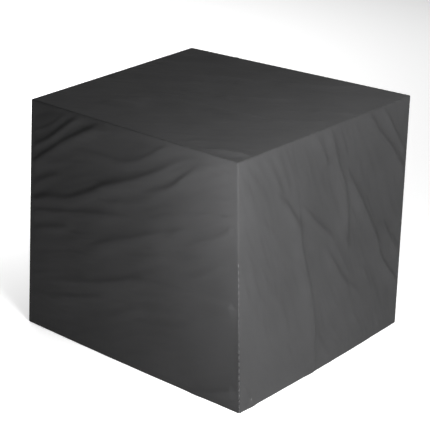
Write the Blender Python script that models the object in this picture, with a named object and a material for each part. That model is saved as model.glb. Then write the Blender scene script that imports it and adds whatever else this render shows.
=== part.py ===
"""Fitted outdoor air conditioner cover: a hollow box of heavy woven polyester, open below.

Metres, +Z up. The origin is the middle of the top's underside, where the unit carries the cloth.
The front wall faces -Y and the right wall faces +X. Each panel is one thin sheet, cut and hemmed
as a maker would, with the folds that the cover has when it stands pulled down over its unit.
"""
from collections import namedtuple
from math import pi, radians

import bmesh
import bpy
import numpy as np
from mathutils import Vector

# Driving sizes of the cover
WIDTH = 0.610
DEPTH = 0.610
HEIGHT = 0.559
CLOTH = 0.002
SEAM_GAP = 0.0004

# A sheet is laid out as a fine grid, then thinned where it is flat
GRID_STEP = 0.0055
KEEP_SEEN = 0.060
KEEP_HIDDEN = 0.050

# Folds die away towards a sewn edge, keep part of their height at the hem, and taper over a
# share of their length at either end
SEAM_FADE = 0.012
HEM_FADE = 0.030
HEM_SHARE = 0.5
END_TAPER = 0.30
MM = 0.001

# How far each corner of the pulled-down cover lies from a true box, east and north, in mm
CORNER_SHIFT = {
    "top_front_left": (10, 13),
    "top_back_left": (-12, -14),
    "top_back_right": (6, 9),
    "top_front_right": (-5, -9),
    "hem_front_left": (-26, 20),
    "hem_back_left": (-10, 8),
    "hem_back_right": (26, -14),
    "hem_front_right": (10, 3),
}

# One row is one fold, a ridge pulled in the cloth. Its path runs through points in mm: along the panel, and up it.
# rise is its height in mm. sharp is the width of its steep flank, on the upper side of the path,
# and soft is the width of its long flank, on the lower side.
Fold = namedtuple("Fold", "path rise sharp soft")

FRONT_FOLDS = (
    Fold(((-12, 438), (60, 476), (120, 520), (196, 574)), 5.2, 10, 17),
    Fold(((-12, 396), (55, 443), (110, 481), (165, 512), (245, 556)), 5.0, 9, 26),
    Fold(((140, 470), (230, 478), (300, 481), (355, 497), (405, 524), (470, 568)), 3.4, 9, 24),
    Fold(((-12, 311), (70, 341), (130, 354), (200, 386), (265, 421), (370, 463), (530, 548)),
         6.6, 10, 34),
    Fold(((350, 418), (450, 461), (500, 497), (565, 546)), 3.2, 9, 24),
    Fold(((-12, 278), (50, 302), (100, 313), (200, 337), (340, 364)), 4.4, 9, 28),
    Fold(((-12, 234), (60, 263), (160, 288)), 3.0, 9, 22),
    Fold(((165, 236), (260, 284), (330, 312), (440, 356), (540, 392)), 4.0, 11, 34),
    Fold(((480, 330), (560, 372), (622, 404)), 2.6, 9, 24),
    Fold(((60, 130), (212, 171), (304, 204), (350, 220), (470, 236), (622, 241)), 5.2, 9, 38),
    Fold(((20, 86), (130, 108), (200, 128), (300, 160)), 2.6, 10, 28),
    Fold(((480, -18), (560, 18), (622, 47)), 5.6, 10, 26),
)

RIGHT_FOLDS = (
    Fold(((468, 580), (505, 526), (530, 492), (562, 450), (616, 386)), 6.0, 9, 16),
    Fold(((412, 580), (455, 520), (490, 485), (525, 452), (560, 408), (616, 340)), 6.0, 10, 26),
    Fold(((284, 580), (308, 510), (325, 460), (345, 415), (360, 350), (368, 240)), 5.0, 9, 30),
    Fold(((335, 484), (380, 408), (415, 355), (450, 300), (482, 245), (505, 192), (600, 86)),
         7.0, 10, 30),
    Fold(((500, 296), (545, 225), (575, 190), (616, 148)), 4.2, 9, 24),
    Fold(((184, 450), (194, 350), (203, 300), (222, 240), (236, 190), (247, 125), (250, -12)),
         5.6, 9, 36),
    Fold(((190, 420), (255, 352), (318, 292)), 3.0, 10, 26),
    Fold(((285, 290), (330, 225), (365, 180), (425, 132)), 3.6, 11, 28),
    Fold(((108, 466), (160, 408), (198, 350)), 2.6, 10, 26),
    Fold(((230, 580), (262, 515), (296, 466)), 2.8, 10, 24),
    Fold(((-12, 92), (10, 52), (28, 22), (52, -18)), 5.6, 10, 24),
)

# Along is from the front edge to the back one, up is from the right edge to the left one
TOP_FOLDS = (
    Fold(((-6, 152), (17, 82), (32, 40), (56, -18)), 5.0, 9, 24),
    Fold(((80, 492), (125, 435), (180, 390), (205, 335), (230, 270), (237, 180), (266, 10)),
         5.4, 9, 34),
    Fold(((280, 582), (345, 502), (408, 412), (440, 365), (500, 262)), 6.0, 10, 30),
    Fold(((470, 288), (512, 212), (540, 172), (616, 84)), 5.0, 10, 28),
    Fold(((505, 588), (552, 520), (604, 446)), 5.0, 10, 26),
    Fold(((285, 330), (330, 262), (358, 222), (432, 148)), 4.2, 9, 28),
    Fold(((240, 128), (272, 82), (298, 46), (346, 8)), 3.6, 9, 22),
    Fold(((360, 98), (395, 45), (428, -8)), 3.2, 9, 22),
    Fold(((88, 478), (120, 420), (150, 366)), 2.6, 10, 24),
)

# The two walls that the photo hides hang in like folds of their own
BACK_FOLDS = (
    Fold(((-12, 452), (60, 494), (128, 530), (190, 574)), 5.4, 10, 22),
    Fold(((-12, 372), (90, 408), (180, 452), (265, 476), (345, 528), (396, 574)), 6.2, 10, 34),
    Fold(((110, 326), (230, 352), (330, 398), (440, 424), (530, 470), (622, 500)), 5.4, 10, 36),
    Fold(((-12, 214), (100, 232), (210, 268), (300, 276), (410, 306)), 4.8, 10, 34),
    Fold(((230, 144), (350, 182), (470, 196), (622, 236)), 5.2, 9, 34),
    Fold(((380, 306), (500, 338), (622, 392)), 3.6, 10, 28),
    Fold(((60, -12), (92, 62), (104, 140), (158, 218)), 4.4, 10, 30),
    Fold(((490, -18), (560, 34), (622, 64)), 5.2, 10, 26),
)

LEFT_FOLDS = (
    Fold(((-12, 382), (70, 428), (150, 486), (236, 574)), 5.6, 10, 26),
    Fold(((-12, 292), (110, 338), (214, 404), (300, 442), (402, 520), (440, 574)), 6.4, 10, 36),
    Fold(((290, 318), (388, 366), (470, 398), (545, 462), (622, 506)), 5.0, 10, 32),
    Fold(((60, 194), (180, 224), (268, 268), (392, 292), (490, 326)), 4.4, 10, 34),
    Fold(((330, -12), (342, 70), (368, 142), (374, 240)), 4.8, 9, 32),
    Fold(((410, 132), (510, 176), (622, 200)), 4.0, 10, 28),
    Fold(((-12, 96), (70, 112), (180, 158)), 3.4, 10, 28),
)

# One row is one broad swell: its middle and its half lengths in mm, the way its length runs in
# degrees from the panel's low edge, and its height in mm. Below 0 the cloth lies in.
Swell = namedtuple("Swell", "middle half_lengths turn rise")

FRONT_SWELLS = (
    Swell((200, 440), (190, 42), 27, -2.6),
    Swell((420, 400), (170, 50), 24, 2.4),
    Swell((330, 120), (230, 52), 8, -2.8),
    Swell((130, 215), (150, 44), 18, 2.0),
    Swell((520, 130), (110, 70), 20, 2.2),
)

RIGHT_SWELLS = (
    Swell((100, 330), (80, 190), 12, 2.6),
    Swell((290, 200), (60, 190), 14, -2.6),
    Swell((420, 430), (46, 150), 32, -2.2),
    Swell((400, 90), (90, 90), 20, 2.4),
    Swell((540, 300), (40, 170), 30, -2.0),
)

TOP_SWELLS = (
    Swell((330, 430), (50, 170), 38, 0.8),
    Swell((420, 250), (44, 150), 36, 1.6),
    Swell((120, 200), (90, 170), 16, 1.2),
    Swell((500, 420), (44, 140), 34, 1.4),
)

BACK_SWELLS = (
    Swell((170, 360), (180, 46), 22, -2.6),
    Swell((420, 480), (180, 44), 20, 2.4),
    Swell((330, 90), (210, 56), 8, 2.6),
    Swell((520, 330), (120, 52), 24, -2.4),
)

LEFT_SWELLS = (
    Swell((160, 430), (150, 46), 34, -2.4),
    Swell((420, 460), (170, 44), 32, 2.2),
    Swell((210, 110), (150, 70), 12, 2.6),
    Swell((480, 260), (140, 50), 18, -2.6),
)

# How far the middle of each panel stands proud of its four corners, in mm
BELLY = {"top": 0.0, "front": 3.0, "right": 4.5, "back": 5.0, "left": 3.5}


def corner(name):
    """One outer corner of the pulled-down cover."""
    east, north = CORNER_SHIFT[name]
    x = WIDTH / 2 if "right" in name else -WIDTH / 2
    y = DEPTH / 2 if "back" in name else -DEPTH / 2
    z = CLOTH if "top" in name else CLOTH - HEIGHT
    return Vector((x + east * MM, y + north * MM, z))


def smooth_path(points, steps=8):
    """Points along the rounded curve that runs through a fold's own points."""
    points = [np.array(p, float) for p in points]
    ends = [2 * points[0] - points[1]] + points + [2 * points[-1] - points[-2]]
    curve = []
    for before, start, end, after in zip(ends, ends[1:], ends[2:], ends[3:]):
        for step in range(steps):
            t = step / steps
            curve.append(0.5 * (2 * start + (end - before) * t
                                + (2 * before - 5 * start + 4 * end - after) * t ** 2
                                + (3 * start - before - 3 * end + after) * t ** 3))
    return curve + [points[-1]]


def ease(distance, width):
    """0 at an edge and 1 from width inwards, with no corner between."""
    t = np.clip(distance / width, 0.0, 1.0)
    return t * t * (3 - 2 * t)


def fold_height(places, fold):
    """Height in mm that one fold adds at each place on its panel."""
    curve = smooth_path(fold.path)
    nearest = np.full(len(places), np.inf)
    height = np.zeros(len(places))
    total = sum(np.linalg.norm(end - start) for start, end in zip(curve, curve[1:]))
    done = 0.0
    for start, end in zip(curve, curve[1:]):
        length = np.linalg.norm(end - start)
        way = (end - start) / length
        along = np.clip((places - start) @ way, 0.0, length)
        off = places - start - along[:, None] * way
        distance = np.linalg.norm(off, axis=1)
        upper = way[0] * off[:, 1] - way[1] * off[:, 0] > 0
        flank = np.where(upper, fold.sharp, fold.soft)
        from_end = np.minimum(done + along, total - done - along)
        here = fold.rise * ease(from_end, END_TAPER * total) * np.exp(-(distance / flank) ** 2)
        closer = distance < nearest
        nearest = np.where(closer, distance, nearest)
        height = np.where(closer, here, height)
        done += length
    return height


def swell_height(places, swell):
    """Height in mm that one broad swell adds at each place on its panel."""
    turn = radians(swell.turn)
    off = places - np.array(swell.middle)
    along = off @ (np.cos(turn), np.sin(turn)) / swell.half_lengths[0]
    across = off @ (-np.sin(turn), np.cos(turn)) / swell.half_lengths[1]
    return swell.rise * np.exp(-along ** 2 - across ** 2)


def sheet_height(places, width, rise, panel):
    """Height in metres of a panel's folds and belly over its flat patch, at places in mm."""
    x, y = places[:, 0] * MM, places[:, 1] * MM
    at_low_edge = HEM_SHARE + (1 - HEM_SHARE) * ease(y, HEM_FADE) if panel.hem else ease(y, SEAM_FADE)
    fade = at_low_edge * ease(rise - y, SEAM_FADE) * ease(x, SEAM_FADE) * ease(width - x, SEAM_FADE)
    up = 0.5 + 0.5 * y / rise if panel.hem else y / rise
    belly = panel.belly * np.sin(pi * x / width) * np.sin(pi * up)
    folds = sum(fold_height(places, fold) for fold in panel.folds)
    swells = sum(swell_height(places, swell) for swell in panel.swells)
    return (belly + fade * (folds + swells)) * MM


def patch_point(corners, u, v):
    """A point of the even sheet between four corners: low start, low end, high end, high start."""
    low = corners[0].lerp(corners[1], u)
    high = corners[3].lerp(corners[2], u)
    return low.lerp(high, v)


def trimmed(corners, sides, top):
    """The corners of a panel that stops short of its neighbours, by sides at each end and top above."""
    width = (corners[1] - corners[0]).length
    rise = (corners[3] - corners[0]).length
    u, v = sides / width, 1 - top / rise
    return [patch_point(corners, *uv) for uv in ((u, 0), (1 - u, 0), (1 - u, v), (u, v))]


def cloth_material(name):
    """Matt charcoal polyester, with a little sheen from its weave."""
    material = bpy.data.materials.new(name)
    material.use_nodes = True
    shader = material.node_tree.nodes["Principled BSDF"]
    shader.inputs["Base Color"].default_value = (0.042, 0.042, 0.044, 1.0)
    shader.inputs["Roughness"].default_value = 0.82
    shader.inputs["Metallic"].default_value = 0.0
    return material


def make_panel(name, panel):
    """One cut panel: a folded sheet over its patch, thinned where flat, then given its thickness."""
    corners = panel.corners
    width = (corners[1] - corners[0]).length
    rise = (corners[3] - corners[0]).length
    bm = bmesh.new()
    bmesh.ops.create_grid(bm, x_segments=round(width / GRID_STEP), y_segments=round(rise / GRID_STEP),
                          size=0.5)
    shares = np.array([(v.co.x + 0.5, v.co.y + 0.5) for v in bm.verts])
    heights = sheet_height(shares * (width / MM, rise / MM), width, rise, panel)
    outward = (corners[1] - corners[0]).cross(corners[3] - corners[0]).normalized()
    for vert, (u, v), height in zip(bm.verts, shares, heights):
        vert.co = patch_point(corners, u, v) + outward * float(height)
    mesh = bpy.data.meshes.new(name)
    bm.to_mesh(mesh)
    bm.free()
    mesh.materials.append(cloth_material(name + "_cloth"))
    mesh.shade_smooth()
    sheet = bpy.data.objects.new(name, mesh)
    bpy.context.collection.objects.link(sheet)
    thin = sheet.modifiers.new("Thin where flat", "DECIMATE")
    thin.ratio = panel.keep
    cloth = sheet.modifiers.new("Cloth thickness", "SOLIDIFY")
    cloth.thickness = CLOTH
    cloth.offset = -1.0


def clear_scene():
    """Take away whatever the file opened with."""
    for thing in list(bpy.data.objects):
        bpy.data.objects.remove(thing, do_unlink=True)


# A panel's corners run low start, low end, high end, high start, seen from outside the cover.
# The top's low edge is its right one. Where a panel has a hem, that is its low edge.
Panel = namedtuple("Panel", "corners folds swells belly hem keep")


def walls(low_start, low_end, sides):
    """The corners of one wall, which hangs just under the top panel's edge."""
    names = ["hem_" + low_start, "hem_" + low_end, "top_" + low_end, "top_" + low_start]
    return trimmed([corner(name) for name in names], sides, CLOTH + SEAM_GAP)


def build():
    """Make the five panels. The front and back walls lap the ends of the side walls."""
    clear_scene()
    butt = CLOTH + SEAM_GAP
    top = [corner("top_" + name) for name in ("front_right", "back_right", "back_left", "front_left")]
    panels = {
        "top_panel": Panel(top, TOP_FOLDS, TOP_SWELLS, BELLY["top"], False, KEEP_SEEN),
        "front_panel": Panel(walls("front_left", "front_right", 0), FRONT_FOLDS, FRONT_SWELLS,
                             BELLY["front"], True, KEEP_SEEN),
        "right_panel": Panel(walls("front_right", "back_right", butt), RIGHT_FOLDS, RIGHT_SWELLS,
                             BELLY["right"], True, KEEP_SEEN),
        "back_panel": Panel(walls("back_right", "back_left", 0), BACK_FOLDS, BACK_SWELLS,
                            BELLY["back"], True, KEEP_HIDDEN),
        "left_panel": Panel(walls("back_left", "front_left", butt), LEFT_FOLDS, LEFT_SWELLS,
                            BELLY["left"], True, KEEP_HIDDEN),
    }
    for name, panel in panels.items():
        make_panel(name, panel)


build()
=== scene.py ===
# %% [markdown]
# An outdoor air conditioner cover is a box of woven polyester, pulled down over the unit. Its
# pieces are cut flat and sewn at the edges, and it is open below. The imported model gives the
# sizes, so the lesson starts by loading it and keeping its box.

# %% Load the frame
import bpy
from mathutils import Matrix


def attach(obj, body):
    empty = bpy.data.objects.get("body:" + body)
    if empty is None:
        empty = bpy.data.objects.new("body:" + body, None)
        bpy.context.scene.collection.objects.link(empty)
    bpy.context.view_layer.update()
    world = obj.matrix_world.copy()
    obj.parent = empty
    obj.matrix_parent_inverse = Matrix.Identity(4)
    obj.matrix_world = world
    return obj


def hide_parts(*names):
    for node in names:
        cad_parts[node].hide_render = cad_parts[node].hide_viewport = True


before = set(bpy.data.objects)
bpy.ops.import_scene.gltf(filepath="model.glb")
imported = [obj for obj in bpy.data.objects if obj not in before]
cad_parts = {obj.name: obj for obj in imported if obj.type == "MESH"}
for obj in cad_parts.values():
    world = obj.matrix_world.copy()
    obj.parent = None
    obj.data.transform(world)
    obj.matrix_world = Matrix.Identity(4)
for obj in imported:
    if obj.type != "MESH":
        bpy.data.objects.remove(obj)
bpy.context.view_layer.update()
print("nodes:", sorted(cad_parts))

from collections import namedtuple
from math import cos, pi, radians, sin, tau

import bpy
import numpy as np
from mathutils import Matrix, Vector, noise

MM = 0.001


def select_only(thing):
    """Make one object the only selected and active one, which every operator here relies on."""
    bpy.ops.object.select_all(action="DESELECT")
    thing.select_set(True)
    bpy.context.view_layer.objects.active = thing


# %% [markdown]
# Every piece hangs between the eight corners of the pulled-down cover. They are read from the
# packed sheets instead of typed in, so that the cloth can't drift from its solids.

# %% Find the corners
def farthest(node, direction):
    """The corner of a node that lies farthest in a direction."""
    way = Vector(direction)
    return max((v.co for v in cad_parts[node].data.vertices), key=way.dot).copy()


CORNERS = {
    "top front left": farthest("top_panel", (-1, -1, 0.2)),
    "top front right": farthest("top_panel", (1, -1, 0.2)),
    "top back right": farthest("top_panel", (1, 1, 0.2)),
    "top back left": farthest("top_panel", (-1, 1, 0.2)),
    "hem front left": farthest("front_panel", (-1, -0.5, -1)),
    "hem front right": farthest("front_panel", (1, -0.5, -1)),
    "hem back right": farthest("back_panel", (1, 0.5, -1)),
    "hem back left": farthest("back_panel", (-1, 0.5, -1)),
}
for name, place in CORNERS.items():
    print(name, [round(c / MM, 1) for c in place])

# %% [markdown]
# Folds are what make a cover read as cloth. Each row below is one fold: the points that it runs
# through in mm (along the panel, then up it), its height, and the widths of its steep flank above
# and its long flank below. Pulled cloth never makes even ridges, so the two flanks differ.

# %% Main folds of the walls and the top
Fold = namedtuple("Fold", "path rise sharp soft")

FOLDS = {
    "front": (
        Fold(((-12, 438), (60, 476), (120, 520), (196, 574)), 5.2, 10, 17),
        Fold(((-12, 396), (55, 443), (110, 481), (165, 512), (245, 556)), 5.0, 9, 26),
        Fold(((140, 470), (230, 478), (300, 481), (355, 497), (405, 524), (470, 568)), 3.4, 9, 24),
        Fold(((-12, 311), (70, 341), (130, 354), (200, 386), (265, 421), (370, 463), (530, 548)),
             6.6, 10, 34),
        Fold(((350, 418), (450, 461), (500, 497), (565, 546)), 3.2, 9, 24),
        Fold(((-12, 278), (50, 302), (100, 313), (200, 337), (340, 364)), 4.4, 9, 28),
        Fold(((-12, 234), (60, 263), (160, 288)), 3.0, 9, 22),
        Fold(((165, 236), (260, 284), (330, 312), (440, 356), (540, 392)), 4.0, 11, 34),
        Fold(((480, 330), (560, 372), (622, 404)), 2.6, 9, 24),
        Fold(((60, 130), (212, 171), (304, 204), (350, 220), (470, 236), (622, 241)), 5.2, 9, 38),
        Fold(((20, 86), (130, 108), (200, 128), (300, 160)), 2.6, 10, 28),
        Fold(((480, -18), (560, 18), (622, 47)), 5.6, 10, 26),
    ),
    "right": (
        Fold(((468, 580), (505, 526), (530, 492), (562, 450), (616, 386)), 6.0, 9, 16),
        Fold(((412, 580), (455, 520), (490, 485), (525, 452), (560, 408), (616, 340)), 6.0, 10, 26),
        Fold(((284, 580), (308, 510), (325, 460), (345, 415), (360, 350), (368, 240)), 5.0, 9, 30),
        Fold(((335, 484), (380, 408), (415, 355), (450, 300), (482, 245), (505, 192), (600, 86)),
             7.0, 10, 30),
        Fold(((500, 296), (545, 225), (575, 190), (616, 148)), 4.2, 9, 24),
        Fold(((184, 450), (194, 350), (203, 300), (222, 240), (236, 190), (247, 125), (250, -12)),
             5.6, 9, 36),
        Fold(((190, 420), (255, 352), (318, 292)), 3.0, 10, 26),
        Fold(((285, 290), (330, 225), (365, 180), (425, 132)), 3.6, 11, 28),
        Fold(((108, 466), (160, 408), (198, 350)), 2.6, 10, 26),
        Fold(((230, 580), (262, 515), (296, 466)), 2.8, 10, 24),
        Fold(((-12, 92), (10, 52), (28, 22), (52, -18)), 5.6, 10, 24),
    ),
    "top": (
        Fold(((-6, 152), (17, 82), (32, 40), (56, -18)), 5.0, 9, 24),
        Fold(((80, 492), (125, 435), (180, 390), (205, 335), (230, 270), (237, 180), (266, 10)),
             5.4, 9, 34),
        Fold(((280, 582), (345, 502), (408, 412), (440, 365), (500, 262)), 6.0, 10, 30),
        Fold(((470, 288), (512, 212), (540, 172), (616, 84)), 5.0, 10, 28),
        Fold(((505, 588), (552, 520), (604, 446)), 5.0, 10, 26),
        Fold(((285, 330), (330, 262), (358, 222), (432, 148)), 4.2, 9, 28),
        Fold(((240, 128), (272, 82), (298, 46), (346, 8)), 3.6, 9, 22),
        Fold(((360, 98), (395, 45), (428, -8)), 3.2, 9, 22),
        Fold(((88, 478), (120, 420), (150, 366)), 2.6, 10, 24),
    ),
    "back": (
        Fold(((-12, 452), (60, 494), (128, 530), (190, 574)), 5.4, 10, 22),
        Fold(((-12, 372), (90, 408), (180, 452), (265, 476), (345, 528), (396, 574)), 6.2, 10, 34),
        Fold(((110, 326), (230, 352), (330, 398), (440, 424), (530, 470), (622, 500)), 5.4, 10, 36),
        Fold(((-12, 214), (100, 232), (210, 268), (300, 276), (410, 306)), 4.8, 10, 34),
        Fold(((230, 144), (350, 182), (470, 196), (622, 236)), 5.2, 9, 34),
        Fold(((380, 306), (500, 338), (622, 392)), 3.6, 10, 28),
        Fold(((60, -12), (92, 62), (104, 140), (158, 218)), 4.4, 10, 30),
        Fold(((490, -18), (560, 34), (622, 64)), 5.2, 10, 26),
    ),
    "left": (
        Fold(((-12, 382), (70, 428), (150, 486), (236, 574)), 5.6, 10, 26),
        Fold(((-12, 292), (110, 338), (214, 404), (300, 442), (402, 520), (440, 574)), 6.4, 10, 36),
        Fold(((290, 318), (388, 366), (470, 398), (545, 462), (622, 506)), 5.0, 10, 32),
        Fold(((60, 194), (180, 224), (268, 268), (392, 292), (490, 326)), 4.4, 10, 34),
        Fold(((330, -12), (342, 70), (368, 142), (374, 240)), 4.8, 9, 32),
        Fold(((410, 132), (510, 176), (622, 200)), 4.0, 10, 28),
        Fold(((-12, 96), (70, 112), (180, 158)), 3.4, 10, 28),
    ),
}
print("folds:", {panel: len(rows) for panel, rows in FOLDS.items()})

# %% [markdown]
# Thinner creases run beside the main folds. They are too low for the solids, so only the sheets
# have them. The rows have the same columns.

# %% Thin creases beside the main folds
CREASES = {
    "front": (
        Fold(((-12, 478), (70, 512), (130, 560)), 1.6, 5, 9),
        Fold(((-12, 352), (60, 386), (120, 406)), 1.5, 6, 11),
        Fold(((40, 412), (120, 436), (205, 452)), 1.2, 6, 12),
        Fold(((226, 532), (268, 544), (314, 560)), 1.5, 5, 10),
        Fold(((222, 376), (268, 380), (312, 392)), 1.4, 5, 11),
        Fold(((205, 412), (262, 420), (340, 446)), 1.4, 5, 10),
        Fold(((420, 442), (462, 466), (512, 506)), 1.8, 6, 12),
        Fold(((380, 372), (452, 400), (520, 418), (600, 436)), 1.6, 6, 14),
        Fold(((440, 340), (482, 372), (520, 380)), 1.6, 7, 12),
        Fold(((490, 262), (552, 290), (604, 330)), 1.6, 7, 14),
        Fold(((520, 344), (562, 362), (622, 412)), 1.8, 6, 13),
        Fold(((320, 262), (400, 292), (462, 304)), 1.4, 7, 14),
        Fold(((90, 146), (170, 168), (225, 196)), 1.6, 6, 13),
        Fold(((96, 98), (170, 122), (262, 150)), 1.4, 6, 12),
        Fold(((-12, 68), (80, 92), (150, 112)), 1.2, 7, 14),
        Fold(((240, 96), (330, 118), (420, 122)), 1.2, 8, 16),
        Fold(((400, 168), (480, 184), (560, 176)), 1.0, 8, 16),
        Fold(((470, 26), (520, 42), (566, 66)), 1.2, 6, 12),
        Fold(((300, 22), (372, 40), (430, 70)), 1.0, 8, 14),
    ),
    "right": (
        Fold(((300, 66), (326, 50), (352, 24)), 1.6, 6, 12),
        Fold(((386, 108), (412, 74), (434, 44)), 1.6, 6, 12),
        Fold(((146, 114), (160, 92), (176, 62)), 1.4, 7, 12),
        Fold(((372, 356), (390, 330), (406, 302)), 1.6, 6, 12),
        Fold(((140, 446), (164, 404), (192, 344)), 1.6, 6, 12),
        Fold(((206, 400), (250, 356), (300, 318), (330, 262)), 1.8, 7, 13),
        Fold(((262, 560), (270, 516), (286, 462)), 1.6, 6, 12),
        Fold(((318, 570), (342, 512), (362, 468)), 1.8, 6, 12),
        Fold(((292, 268), (332, 214), (384, 152)), 1.8, 6, 12),
        Fold(((316, 300), (340, 250), (392, 176)), 1.4, 6, 12),
        Fold(((262, 92), (300, 40), (330, -12)), 1.4, 7, 13),
        Fold(((426, 376), (462, 312), (486, 266)), 1.8, 5, 10),
        Fold(((462, 560), (500, 510), (546, 456)), 1.8, 5, 10),
        Fold(((540, 250), (568, 214), (612, 164)), 2.0, 5, 10),
        Fold(((536, 160), (566, 116), (612, 70)), 1.8, 6, 12),
        Fold(((80, 260), (120, 216), (150, 160)), 1.2, 8, 15),
        Fold(((60, 420), (100, 380), (128, 330)), 1.1, 8, 15),
        Fold(((420, 210), (452, 160), (470, 110)), 1.4, 7, 13),
    ),
    "top": (
        Fold(((300, 388), (316, 366), (330, 346)), 1.2, 6, 11),
        Fold(((346, 432), (362, 412), (376, 396)), 1.2, 6, 11),
        Fold(((228, 406), (242, 388), (256, 368)), 1.2, 6, 11),
        Fold(((426, 336), (438, 322), (450, 306)), 1.2, 6, 11),
        Fold(((100, 470), (140, 428), (186, 380)), 1.6, 6, 12),
        Fold(((300, 300), (336, 262), (372, 212)), 1.6, 6, 12),
        Fold(((500, 582), (536, 536), (592, 470)), 1.6, 6, 11),
        Fold(((256, 118), (288, 74), (330, 30)), 1.4, 6, 12),
        Fold(((380, 560), (420, 500), (470, 440)), 1.2, 7, 13),
        Fold(((60, 300), (96, 240), (120, 180)), 1.0, 8, 15),
        Fold(((560, 360), (580, 320), (612, 280)), 1.2, 7, 13),
    ),
    "back": (
        Fold(((40, 500), (100, 530), (140, 566)), 1.6, 6, 12),
        Fold(((60, 420), (150, 456), (210, 500)), 1.6, 6, 12),
        Fold(((-12, 300), (80, 322), (160, 350)), 1.6, 6, 12),
        Fold(((260, 452), (350, 486), (420, 506)), 1.6, 6, 12),
        Fold(((420, 364), (500, 392), (580, 430)), 1.6, 6, 12),
        Fold(((140, 190), (220, 206), (300, 238)), 1.4, 7, 13),
        Fold(((360, 110), (450, 136), (540, 146)), 1.4, 7, 13),
        Fold(((500, 250), (560, 276), (622, 290)), 1.6, 6, 12),
    ),
    "left": (
        Fold(((30, 470), (100, 506), (150, 556)), 1.6, 6, 12),
        Fold(((200, 350), (290, 382), (350, 420)), 1.6, 6, 12),
        Fold(((420, 300), (500, 336), (580, 390)), 1.6, 6, 12),
        Fold(((60, 260), (150, 290), (220, 320)), 1.6, 6, 12),
        Fold(((250, 130), (272, 190), (330, 230)), 1.4, 7, 13),
        Fold(((440, 60), (520, 92), (600, 106)), 1.4, 7, 13),
        Fold(((480, 500), (540, 530), (590, 560)), 1.6, 6, 12),
    ),
}
print("creases:", {panel: len(rows) for panel, rows in CREASES.items()})

# %% [markdown]
# Between the folds the cloth lies in broad, shallow swells. A swell is a hill or hollow with its
# middle, its half lengths and its turn from the panel's low edge.

# %% Broad swells
Swell = namedtuple("Swell", "middle half_lengths turn rise")

SWELLS = {
    "front": (
        Swell((200, 440), (190, 42), 27, -2.6),
        Swell((420, 400), (170, 50), 24, 2.4),
        Swell((330, 120), (230, 52), 8, -2.8),
        Swell((130, 215), (150, 44), 18, 2.0),
        Swell((520, 130), (110, 70), 20, 2.2),
    ),
    "right": (
        Swell((100, 330), (80, 190), 12, 2.6),
        Swell((290, 200), (60, 190), 14, -2.6),
        Swell((420, 430), (46, 150), 32, -2.2),
        Swell((400, 90), (90, 90), 20, 2.4),
        Swell((540, 300), (40, 170), 30, -2.0),
    ),
    "top": (
        Swell((330, 430), (50, 170), 38, 0.8),
        Swell((420, 250), (44, 150), 36, 1.6),
        Swell((120, 200), (90, 170), 16, 1.2),
        Swell((500, 420), (44, 140), 34, 1.4),
    ),
    "back": (
        Swell((170, 360), (180, 46), 22, -2.6),
        Swell((420, 480), (180, 44), 20, 2.4),
        Swell((330, 90), (210, 56), 8, 2.6),
        Swell((520, 330), (120, 52), 24, -2.4),
    ),
    "left": (
        Swell((160, 430), (150, 46), 34, -2.4),
        Swell((420, 460), (170, 44), 32, 2.2),
        Swell((210, 110), (150, 70), 12, 2.6),
        Swell((480, 260), (140, 50), 18, -2.6),
    ),
}
BELLY = {"top": 0.0, "front": 3.0, "right": 4.5, "back": 5.0, "left": 3.5}
print("swells:", sum(len(rows) for rows in SWELLS.values()))

# %% [markdown]
# A fold's height is a smooth hump across its path. It dies away at a path's end inside the panel,
# and at a sewn edge, because the seam holds the cloth straight there.

# %% Turn folds and swells into heights
SEAM_FADE = 28
HEM_FADE = 30
HEM_SHARE = 0.25
END_TAPER = 0.28
PANEL_REACH = (600, 550)


def smooth_path(points, steps=8):
    """Points along the rounded curve that runs through a fold's own points."""
    points = [np.array(p, float) for p in points]
    ends = [2 * points[0] - points[1]] + points + [2 * points[-1] - points[-2]]
    curve = []
    for before, start, end, after in zip(ends, ends[1:], ends[2:], ends[3:]):
        for step in range(steps):
            t = step / steps
            curve.append(0.5 * (2 * start + (end - before) * t
                                + (2 * before - 5 * start + 4 * end - after) * t ** 2
                                + (3 * start - before - 3 * end + after) * t ** 3))
    return curve + [points[-1]]


def ease(distance, width):
    """0 at an edge and 1 from width inwards, with no corner between."""
    t = np.clip(distance / width, 0.0, 1.0)
    return t * t * (3 - 2 * t)


def leaves_panel(place):
    """Whether a fold's end lies past the panel's edge, so that it keeps its height there."""
    return not (0 < place[0] < PANEL_REACH[0] and 0 < place[1] < PANEL_REACH[1])


def fold_height(places, fold):
    """Height in mm that one fold adds at each place on its panel."""
    curve = smooth_path(fold.path)
    nearest = np.full(len(places), np.inf)
    height = np.zeros(len(places))
    total = sum(np.linalg.norm(end - start) for start, end in zip(curve, curve[1:]))
    done = 0.0
    taper = END_TAPER * total
    fades = [not leaves_panel(place) for place in (curve[0], curve[-1])]
    for start, end in zip(curve, curve[1:]):
        length = np.linalg.norm(end - start)
        way = (end - start) / length
        along = np.clip((places - start) @ way, 0.0, length)
        off = places - start - along[:, None] * way
        distance = np.linalg.norm(off, axis=1)
        upper = way[0] * off[:, 1] - way[1] * off[:, 0] > 0
        flank = np.where(upper, fold.sharp, fold.soft)
        here = fold.rise * np.exp(-(distance / flank) ** 2)
        if fades[0]:
            here = here * ease(done + along, taper)
        if fades[1]:
            here = here * ease(total - done - along, taper)
        closer = distance < nearest
        nearest = np.where(closer, distance, nearest)
        height = np.where(closer, here, height)
        done += length
    return height


def swell_height(places, swell):
    """Height in mm that one broad swell adds at each place on its panel."""
    turn = radians(swell.turn)
    off = places - np.array(swell.middle)
    along = off @ (cos(turn), sin(turn)) / swell.half_lengths[0]
    across = off @ (-sin(turn), cos(turn)) / swell.half_lengths[1]
    return swell.rise * np.exp(-along ** 2 - across ** 2)


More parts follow.
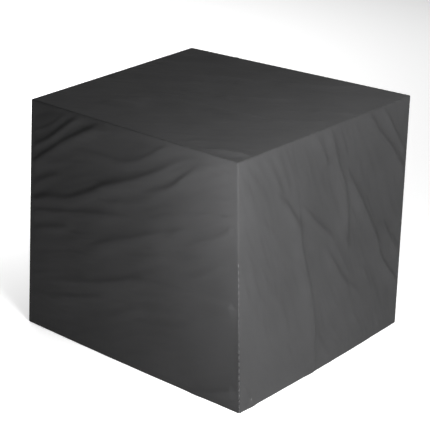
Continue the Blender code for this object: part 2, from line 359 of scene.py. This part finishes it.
# %% [markdown]
# Coated cloth is never smooth between its folds either. Low, stretched-out noise runs along the
# pull of each panel and gives it the soft, slept-on crumple that the light picks up.

# %% Fine crumple along the pull
Crumple = namedtuple("Crumple", "pull length width rise seed")

CRUMPLES = {
    "front": (Crumple(23, 150, 20, 2.6, 1), Crumple(14, 66, 9, 0.9, 2)),
    "right": (Crumple(-63, 150, 22, 3.0, 3), Crumple(-70, 60, 10, 1.1, 4)),
    "top": (Crumple(-56, 140, 20, 3.2, 5), Crumple(-50, 60, 9, 1.2, 6)),
    "back": (Crumple(20, 150, 20, 2.6, 7), Crumple(12, 66, 9, 0.9, 8)),
    "left": (Crumple(26, 150, 20, 2.6, 9), Crumple(18, 66, 9, 0.9, 10)),
}
WANDER = 140
WANDER_REACH = 22


def crumple_height(places, crumple):
    """Height in mm of one layer of crumple at each place."""
    pull = radians(crumple.pull)
    heights = np.empty(len(places))
    for index, (x, y) in enumerate(places):
        slide = WANDER_REACH * noise.noise((x / WANDER, y / WANDER, crumple.seed))
        along = (x * cos(pull) + y * sin(pull)) / crumple.length
        across = (y * cos(pull) - x * sin(pull) + slide) / crumple.width
        lively = 0.55 + 0.9 * noise.noise((x / 110, y / 110, crumple.seed + 40))
        heights[index] = lively * noise.noise((along, across, crumple.seed + 80))
    return crumple.rise * heights


# %% [markdown]
# A seam turns the cloth inwards over a small radius, so the box's edges are softly round with a
# hairline between the panels. At the hem the cloth goes round the bottom and up inside, as it is
# sewn. Both are made by choosing where the sheet's rows lie: how far from the edge, and how deep.

# %% Rows across a seam and a hem
CLOTH = 0.7
EDGE_ROUND = 3.2
SEAM_TURN = 43
SEAM_TUCK = 0.9
HEM_DEPTH = 24
HEM_LOOP = 0.9
STEP = 3.3
Row = namedtuple("Row", "place depth inside")


def seam_rows():
    """Rows from the sewn edge inwards: the tuck into the seam, then the round edge."""
    turn = radians(SEAM_TURN)
    at_seam = Row(EDGE_ROUND * (1 - sin(turn)), EDGE_ROUND * (1 - cos(turn)), False)
    rows = [Row(at_seam.place + SEAM_TUCK, at_seam.depth + SEAM_TUCK, False)]
    for share in (1, 0.75, 0.5, 0.25):
        rows.append(Row(EDGE_ROUND * (1 - sin(turn * share)), EDGE_ROUND * (1 - cos(turn * share)),
                        False))
    return rows


def hem_rows():
    """Rows from the top of the turned-up hem, down inside the wall and round its bottom edge."""
    rows = [Row(HEM_DEPTH * share, 2 * HEM_LOOP, True) for share in (1, 0.75, 0.5, 0.25)]
    for angle in (30, 70, 110, 150):
        way = radians(angle)
        rows.append(Row(HEM_LOOP * (1 - sin(way)), HEM_LOOP * (1 + cos(way)), True))
    return rows


def sheet_rows(size, low, high):
    """All rows across a panel of a size in mm, from its low edge to its high one."""
    start = hem_rows() if low == "hem" else seam_rows()
    end = [Row(size - row.place, row.depth, False) for row in reversed(seam_rows())]
    first = HEM_LOOP * 2 if low == "hem" else EDGE_ROUND
    count = round((size - EDGE_ROUND - first) / STEP)
    middle = [Row(first + (size - EDGE_ROUND - first) * n / count, 0.0, False)
              for n in range(count + 1)]
    return start + middle + end


print("rows in a hem:", len(hem_rows()), "in a seam:", len(seam_rows()))

# %% [markdown]
# A panel starts as a flat grid primitive. Every vertex is then carried to its place between the
# panel's four corners and lifted by the folds. Solidify gives the cloth its thickness.

# %% Lay one panel
PANELS = {
    "top": ("top front right", "top back right", "top back left", "top front left"),
    "front": ("hem front left", "hem front right", "top front right", "top front left"),
    "right": ("hem front right", "hem back right", "top back right", "top front right"),
    "back": ("hem back right", "hem back left", "top back left", "top back right"),
    "left": ("hem back left", "hem front left", "top front left", "top back left"),
}
FOLD_SHARP, FOLD_SOFT = 0.75, 0.62
FOLD_RISE = {"front": 0.9, "right": 1.2, "top": 1.45, "back": 1.0, "left": 1.0}
CREASE_RISE = {"front": 1.0, "right": 1.0, "top": 1.6, "back": 1.0, "left": 1.0}
PUCKER_GAP = 14
PUCKER_REACH = 9
PUCKER_RISE = 0.22


def pucker_height(places, width, rise, has_hem):
    """Height in mm of the small gathers that stitching leaves beside each seam."""
    x, y = places[:, 0], places[:, 1]
    near = [(x, y), (width - x, y), (rise - y, x), (y - HEM_DEPTH if has_hem else y, x)]
    total = 0
    for index, (off, along) in enumerate(near):
        beat = along * tau / PUCKER_GAP + 1.7 * np.sin(along / 37 + index) + index
        total = total + np.sin(beat) * np.exp(-(off / PUCKER_REACH) ** 2)
    return PUCKER_RISE * total


def crisper(fold, lift, sharp, soft):
    """A fold with its height and its two flanks scaled."""
    return Fold(fold.path, fold.rise * lift, fold.sharp * sharp, fold.soft * soft)


def panel_heights(panel, places, width, rise):
    """Height in mm of everything that lifts a panel off its flat patch."""
    x, y = places[:, 0], places[:, 1]
    has_hem = panel != "top"
    low = HEM_SHARE + (1 - HEM_SHARE) * ease(y, HEM_FADE) if has_hem else ease(y, SEAM_FADE)
    fade = low * ease(rise - y, SEAM_FADE) * ease(x, SEAM_FADE) * ease(width - x, SEAM_FADE)
    up = 0.5 + 0.5 * y / rise if has_hem else y / rise
    belly = BELLY[panel] * np.sin(pi * x / width) * np.sin(pi * up)
    folds = [crisper(fold, FOLD_RISE[panel], FOLD_SHARP, FOLD_SOFT) for fold in FOLDS[panel]]
    folds += [crisper(fold, CREASE_RISE[panel], 1, 1) for fold in CREASES[panel]]
    lifts = sum(fold_height(places, fold) for fold in folds)
    lifts = lifts + sum(swell_height(places, swell) for swell in SWELLS[panel])
    lifts = lifts + sum(crumple_height(places, crumple) for crumple in CRUMPLES[panel])
    edge = ease(np.minimum(x, width - x), EDGE_ROUND) * ease(rise - y, EDGE_ROUND)
    return belly + fade * lifts + edge * pucker_height(places, width, rise, has_hem)


def lay_panel(panel):
    """Make one panel's cloth between its corners, as a closed thin sheet."""
    low_start, low_end, high_end, high_start = (CORNERS[name] for name in PANELS[panel])
    width = (low_end - low_start).length / MM
    rise = (high_start - low_start).length / MM
    columns = sheet_rows(width, "seam", "seam")
    rows = sheet_rows(rise, "seam" if panel == "top" else "hem", "seam")
    bpy.ops.mesh.primitive_grid_add(x_subdivisions=len(columns) - 1, y_subdivisions=len(rows) - 1,
                                    size=1, calc_uvs=True)
    cloth = bpy.context.object
    cloth.name = cloth.data.name = panel + "_cloth"
    places = np.array([(column.place, row.place) for row in rows for column in columns])
    heights = panel_heights(panel, places, width, rise)
    outward = (low_end - low_start).cross(high_start - low_start).normalized()
    spots = []
    pairs = ((row, column) for row in rows for column in columns)
    for (x, y), height, (row, column) in zip(places, heights, pairs):
        if row.inside:
            x = EDGE_ROUND + x * (1 - 2 * EDGE_ROUND / width)
        depth = row.depth + (0 if row.inside else column.depth)
        low = low_start.lerp(low_end, x / width)
        high = high_start.lerp(high_end, x / width)
        spots.append(low.lerp(high, y / rise) + outward * float(height - depth) * MM)
    cloth.data.vertices.foreach_set("co", np.array(spots, dtype=np.float32).ravel())
    cloth.data.update()
    return cloth, width * MM, rise * MM


print("rows across a panel:", len(sheet_rows(610, "seam", "seam")))

# %% [markdown]
# The weave is too fine to model, so it lives in the material. It reads a UV map in metres, so that
# the threads follow each panel's own cloth. Solidify copies that map to the inner side.

# %% Give the cloth its map, thickness and soft shading
def metre_map(cloth, width, rise):
    """Stretch the grid's own UV map from a unit square to the panel's size in metres."""
    layer = cloth.data.uv_layers.active
    layer.name = "weave"
    spots = np.empty(len(layer.data) * 2, dtype=np.float32)
    layer.data.foreach_get("uv", spots)
    spots = spots.reshape(-1, 2) * np.array((width, rise), dtype=np.float32)
    layer.data.foreach_set("uv", spots.ravel())


def thicken(cloth):
    """Give a sheet its thickness inwards and keep the result."""
    select_only(cloth)
    wall = cloth.modifiers.new("Cloth thickness", "SOLIDIFY")
    wall.thickness = CLOTH * MM
    wall.offset = -1.0
    wall.material_offset = 1
    wall.material_offset_rim = 0
    bpy.ops.object.modifier_apply(modifier=wall.name)
    bpy.ops.object.shade_smooth_by_angle(angle=radians(60))


# %% [markdown]
# The outside is a dull charcoal weave of slightly different yarns, with painted shade that darkens
# the gaps between the yarns. The inside carries the waterproof coating, which is smoother. Both are
# built from nodes, with no picture.

# %% Cloth finishes
YARN = 0.00062
WEAVE_DEPTH = 0.0001
# Grey range of the outer cloth; part of its spread is painted shade in the gaps between yarns.
YARN_AND_GAP_SHADE_TONES = ((0.2, 0.0145), (0.8, 0.0245))
COATING_TONES = ((0.25, 0.022), (0.8, 0.040))


def math_node(tree, operation, first, second=None):
    """A Math node fed by sockets or numbers."""
    node = tree.nodes.new("ShaderNodeMath")
    node.operation = operation
    for socket, value in zip(node.inputs, (first, second)):
        if isinstance(value, (int, float)):
            socket.default_value = value
        elif value is not None:
            tree.links.new(value, socket)
    return node.outputs[0]


def weave_height(tree):
    """Height of a plain weave, from 0 to 1: warp over weft, then weft over warp."""
    uv = tree.nodes.new("ShaderNodeUVMap")
    uv.uv_map = "weave"
    split = tree.nodes.new("ShaderNodeSeparateXYZ")
    tree.links.new(uv.outputs[0], split.inputs[0])
    across = math_node(tree, "SINE", math_node(tree, "MULTIPLY", split.outputs[0], pi / YARN))
    along = math_node(tree, "SINE", math_node(tree, "MULTIPLY", split.outputs[1], pi / YARN))
    over = math_node(tree, "MULTIPLY_ADD", math_node(tree, "MULTIPLY", across, along), 0.5)
    over.node.inputs[2].default_value = 0.5
    warp = math_node(tree, "MULTIPLY", math_node(tree, "ABSOLUTE", across), over)
    weft = math_node(tree, "MULTIPLY", math_node(tree, "ABSOLUTE", along),
                     math_node(tree, "SUBTRACT", 1.0, over))
    return math_node(tree, "ADD", warp, weft)


def noise_value(tree, scale, detail, vector):
    """A noise texture's value at a scale in features a metre."""
    node = tree.nodes.new("ShaderNodeTexNoise")
    node.inputs["Scale"].default_value = scale
    node.inputs["Detail"].default_value = detail
    tree.links.new(vector, node.inputs["Vector"])
    return node.outputs[0]


def ramp_node(tree, value, stops):
    """A colour ramp from (position, grey) stops."""
    node = tree.nodes.new("ShaderNodeValToRGB")
    node.color_ramp.elements[0].position, low = stops[0]
    node.color_ramp.elements[1].position, high = stops[-1]
    node.color_ramp.elements[0].color = (low, low, low * 1.02, 1)
    node.color_ramp.elements[1].color = (high, high, high * 1.02, 1)
    tree.links.new(value, node.inputs[0])
    return node.outputs[0]


def new_finish(name, roughness, specular):
    """A Principled finish with its fixed values on the shader's own sockets."""
    finish = bpy.data.materials.new(name)
    finish.use_nodes = True
    shader = finish.node_tree.nodes["Principled BSDF"]
    shader.inputs["Roughness"].default_value = roughness
    shader.inputs["Specular IOR Level"].default_value = specular
    return finish, finish.node_tree, shader


def raise_weave(tree, shader, height, strength):
    """Let the weave's height stand out of a finish."""
    bump = tree.nodes.new("ShaderNodeBump")
    bump.inputs["Strength"].default_value = strength
    bump.inputs["Distance"].default_value = WEAVE_DEPTH
    tree.links.new(height, bump.inputs["Height"])
    tree.links.new(bump.outputs[0], shader.inputs["Normal"])


def woven_charcoal():
    """Dull charcoal weave with uneven yarns, faint wear and painted shade in the gaps between
    yarns.
    """
    finish, tree, shader = new_finish("woven_charcoal", 0.8, 0.1)
    spot = tree.nodes.new("ShaderNodeTexCoord").outputs["Object"]
    height = weave_height(tree)
    cloudy = noise_value(tree, 9, 3, spot)
    yarns = noise_value(tree, 900, 2, spot)
    yarn_tone_and_gap_shade = math_node(tree, "ADD", math_node(tree, "MULTIPLY", cloudy, 0.45),
                     math_node(tree, "MULTIPLY", yarns, 0.25))
    # Adding the weave's height makes the yarns' crowns lighter and the gaps between them darker:
    # painted shade in the weave's hollows.
    yarn_tone_and_gap_shade = math_node(tree, "ADD", yarn_tone_and_gap_shade, math_node(tree, "MULTIPLY", height, 0.30))
    tree.links.new(ramp_node(tree, yarn_tone_and_gap_shade, YARN_AND_GAP_SHADE_TONES), shader.inputs["Base Color"])
    raise_weave(tree, shader, height, 0.6)
    return finish


def coated_back():
    """The smoother waterproof coating inside."""
    finish, tree, shader = new_finish("coated_back", 0.55, 0.3)
    spot = tree.nodes.new("ShaderNodeTexCoord").outputs["Object"]
    cloudy = noise_value(tree, 14, 4, spot)
    tree.links.new(ramp_node(tree, cloudy, COATING_TONES), shader.inputs["Base Color"])
    raise_weave(tree, shader, weave_height(tree), 0.25)
    return finish


WOVEN = woven_charcoal()
COATED = coated_back()
print("finishes:", WOVEN.name, COATED.name)

# %% [markdown]
# Now the five panels are cut, laid and finished, one after another. Each replaces its plain solid.

# %% Make the five panels
for panel in PANELS:
    cloth, width, rise = lay_panel(panel)
    metre_map(cloth, width, rise)
    cloth.data.materials.append(WOVEN)
    cloth.data.materials.append(COATED)
    thicken(cloth)
    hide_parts(panel + "_panel")
    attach(cloth, "root")
    print(cloth.name, "triangles:", 2 * len(cloth.data.polygons))

# %% [markdown]
# The cover stands on a plain pale floor. Its light comes mostly from the right and near side, so
# the right wall is even and the front wall darkens to the left. Two lamps light the floor alone.

# %% Floor
FLOOR_GLOW = 0.33


def pale_floor():
    """A large matt floor just under the hem, lit a little from below like a light table."""
    low = min(place.z for place in CORNERS.values())
    bpy.ops.mesh.primitive_plane_add(size=30, location=(0, 0, low - MM))
    floor = bpy.context.object
    floor.name = "floor"
    finish, tree, shader = new_finish("pale_floor", 0.9, 0.0)
    shader.inputs["Base Color"].default_value = (0.9, 0.9, 0.9, 1)
    shader.inputs["Emission Color"].default_value = (1, 1, 1, 1)
    shader.inputs["Emission Strength"].default_value = FLOOR_GLOW
    floor.data.materials.append(finish)


pale_floor()

# %% Lights
Lamp = namedtuple("Lamp", "name place aim size power")
LAMPS = (
    Lamp("front wall, right end", (0.45, -0.60, -0.05), (0.28, -0.305, -0.12), (0.15, 0.3), 6.2),
    Lamp("low, by the near corner", (0.75, -0.40, -0.46), (0.305, 0.1, -0.3), (0.3, 0.12), 1.6),
    Lamp("right wall, low and wide", (1.5, -0.1, -0.5), (0.305, 0.1, -0.3), (0.8, 0.08), 24.0),
    Lamp("near and low", (0.75, -1.3, -0.35), (0.3, 0.0, -0.3), (0.4, 0.6), 3.5),
    Lamp("near and high", (1.3, -1.1, 0.35), (0.1, -0.3, -0.1), (0.5, 0.3), 7.0),
    Lamp("strip over the right edge", (0.55, 0.0, 0.45), (0.1, 0.0, 0.0), (1.2, 0.15), 14.0),
    Lamp("floor behind", (-1.9, 1.6, 1.0), (-1.9, 1.601, 0.0), (3.5, 3.5), 40.0),
    Lamp("floor on the left", (-1.9, 0.3, 0.7), (-2.2, 0.3, 0.0), (1.6, 1.6), 40.0),
)


def hang_lamp(lamp):
    """A soft rectangular light, turned towards its aim."""
    light = bpy.data.lights.new(lamp.name, "AREA")
    light.shape = "RECTANGLE"
    light.size, light.size_y = lamp.size
    light.energy = lamp.power
    holder = bpy.data.objects.new(lamp.name, light)
    bpy.context.collection.objects.link(holder)
    holder.location = lamp.place
    way = Vector(lamp.aim) - Vector(lamp.place)
    holder.rotation_euler = way.to_track_quat("-Z", "Y").to_euler()


for lamp in LAMPS:
    hang_lamp(lamp)
world = bpy.data.worlds.new("studio")
world.use_nodes = True
world.node_tree.nodes["Background"].inputs["Color"].default_value = (1, 1, 1, 1)
world.node_tree.nodes["Background"].inputs["Strength"].default_value = 0.0
bpy.context.scene.world = world
bpy.context.scene.view_settings.view_transform = "Standard"
print("lamps:", len(LAMPS))

# %% [markdown]
# The camera stands where the photograph's did: to the right of the near corner, a little above
# the top, and rolled by a degree and a half. Its lens follows from the picture's width.

# %% Camera
IMAGE_SIZE = 430
SENSOR = 36
FOCAL_PIXELS = 1380
CAMERA_PLACE = Vector((1.8294, -2.3337, 0.9055))
CAMERA_AZIMUTH, CAMERA_ELEVATION, CAMERA_ROLL = 38.094, 21.823, 1.473


def set_camera():
    """Place the camera from its angles and make it the scene's own."""
    azimuth, elevation, roll = (radians(a) for a in (CAMERA_AZIMUTH, CAMERA_ELEVATION, CAMERA_ROLL))
    back = Vector((sin(azimuth) * cos(elevation), -cos(azimuth) * cos(elevation), sin(elevation)))
    level = (-back).cross(Vector((0, 0, 1))).normalized()
    upright = level.cross(-back)
    right = cos(roll) * level + sin(roll) * upright
    up = cos(roll) * upright - sin(roll) * level
    eye = bpy.data.cameras.new("camera")
    eye.sensor_width = SENSOR
    eye.lens = SENSOR * FOCAL_PIXELS / IMAGE_SIZE
    holder = bpy.data.objects.new("camera", eye)
    bpy.context.collection.objects.link(holder)
    turn = Matrix((right, up, back)).transposed().to_4x4()
    turn.translation = CAMERA_PLACE
    holder.matrix_world = turn
    bpy.context.scene.camera = holder


set_camera()
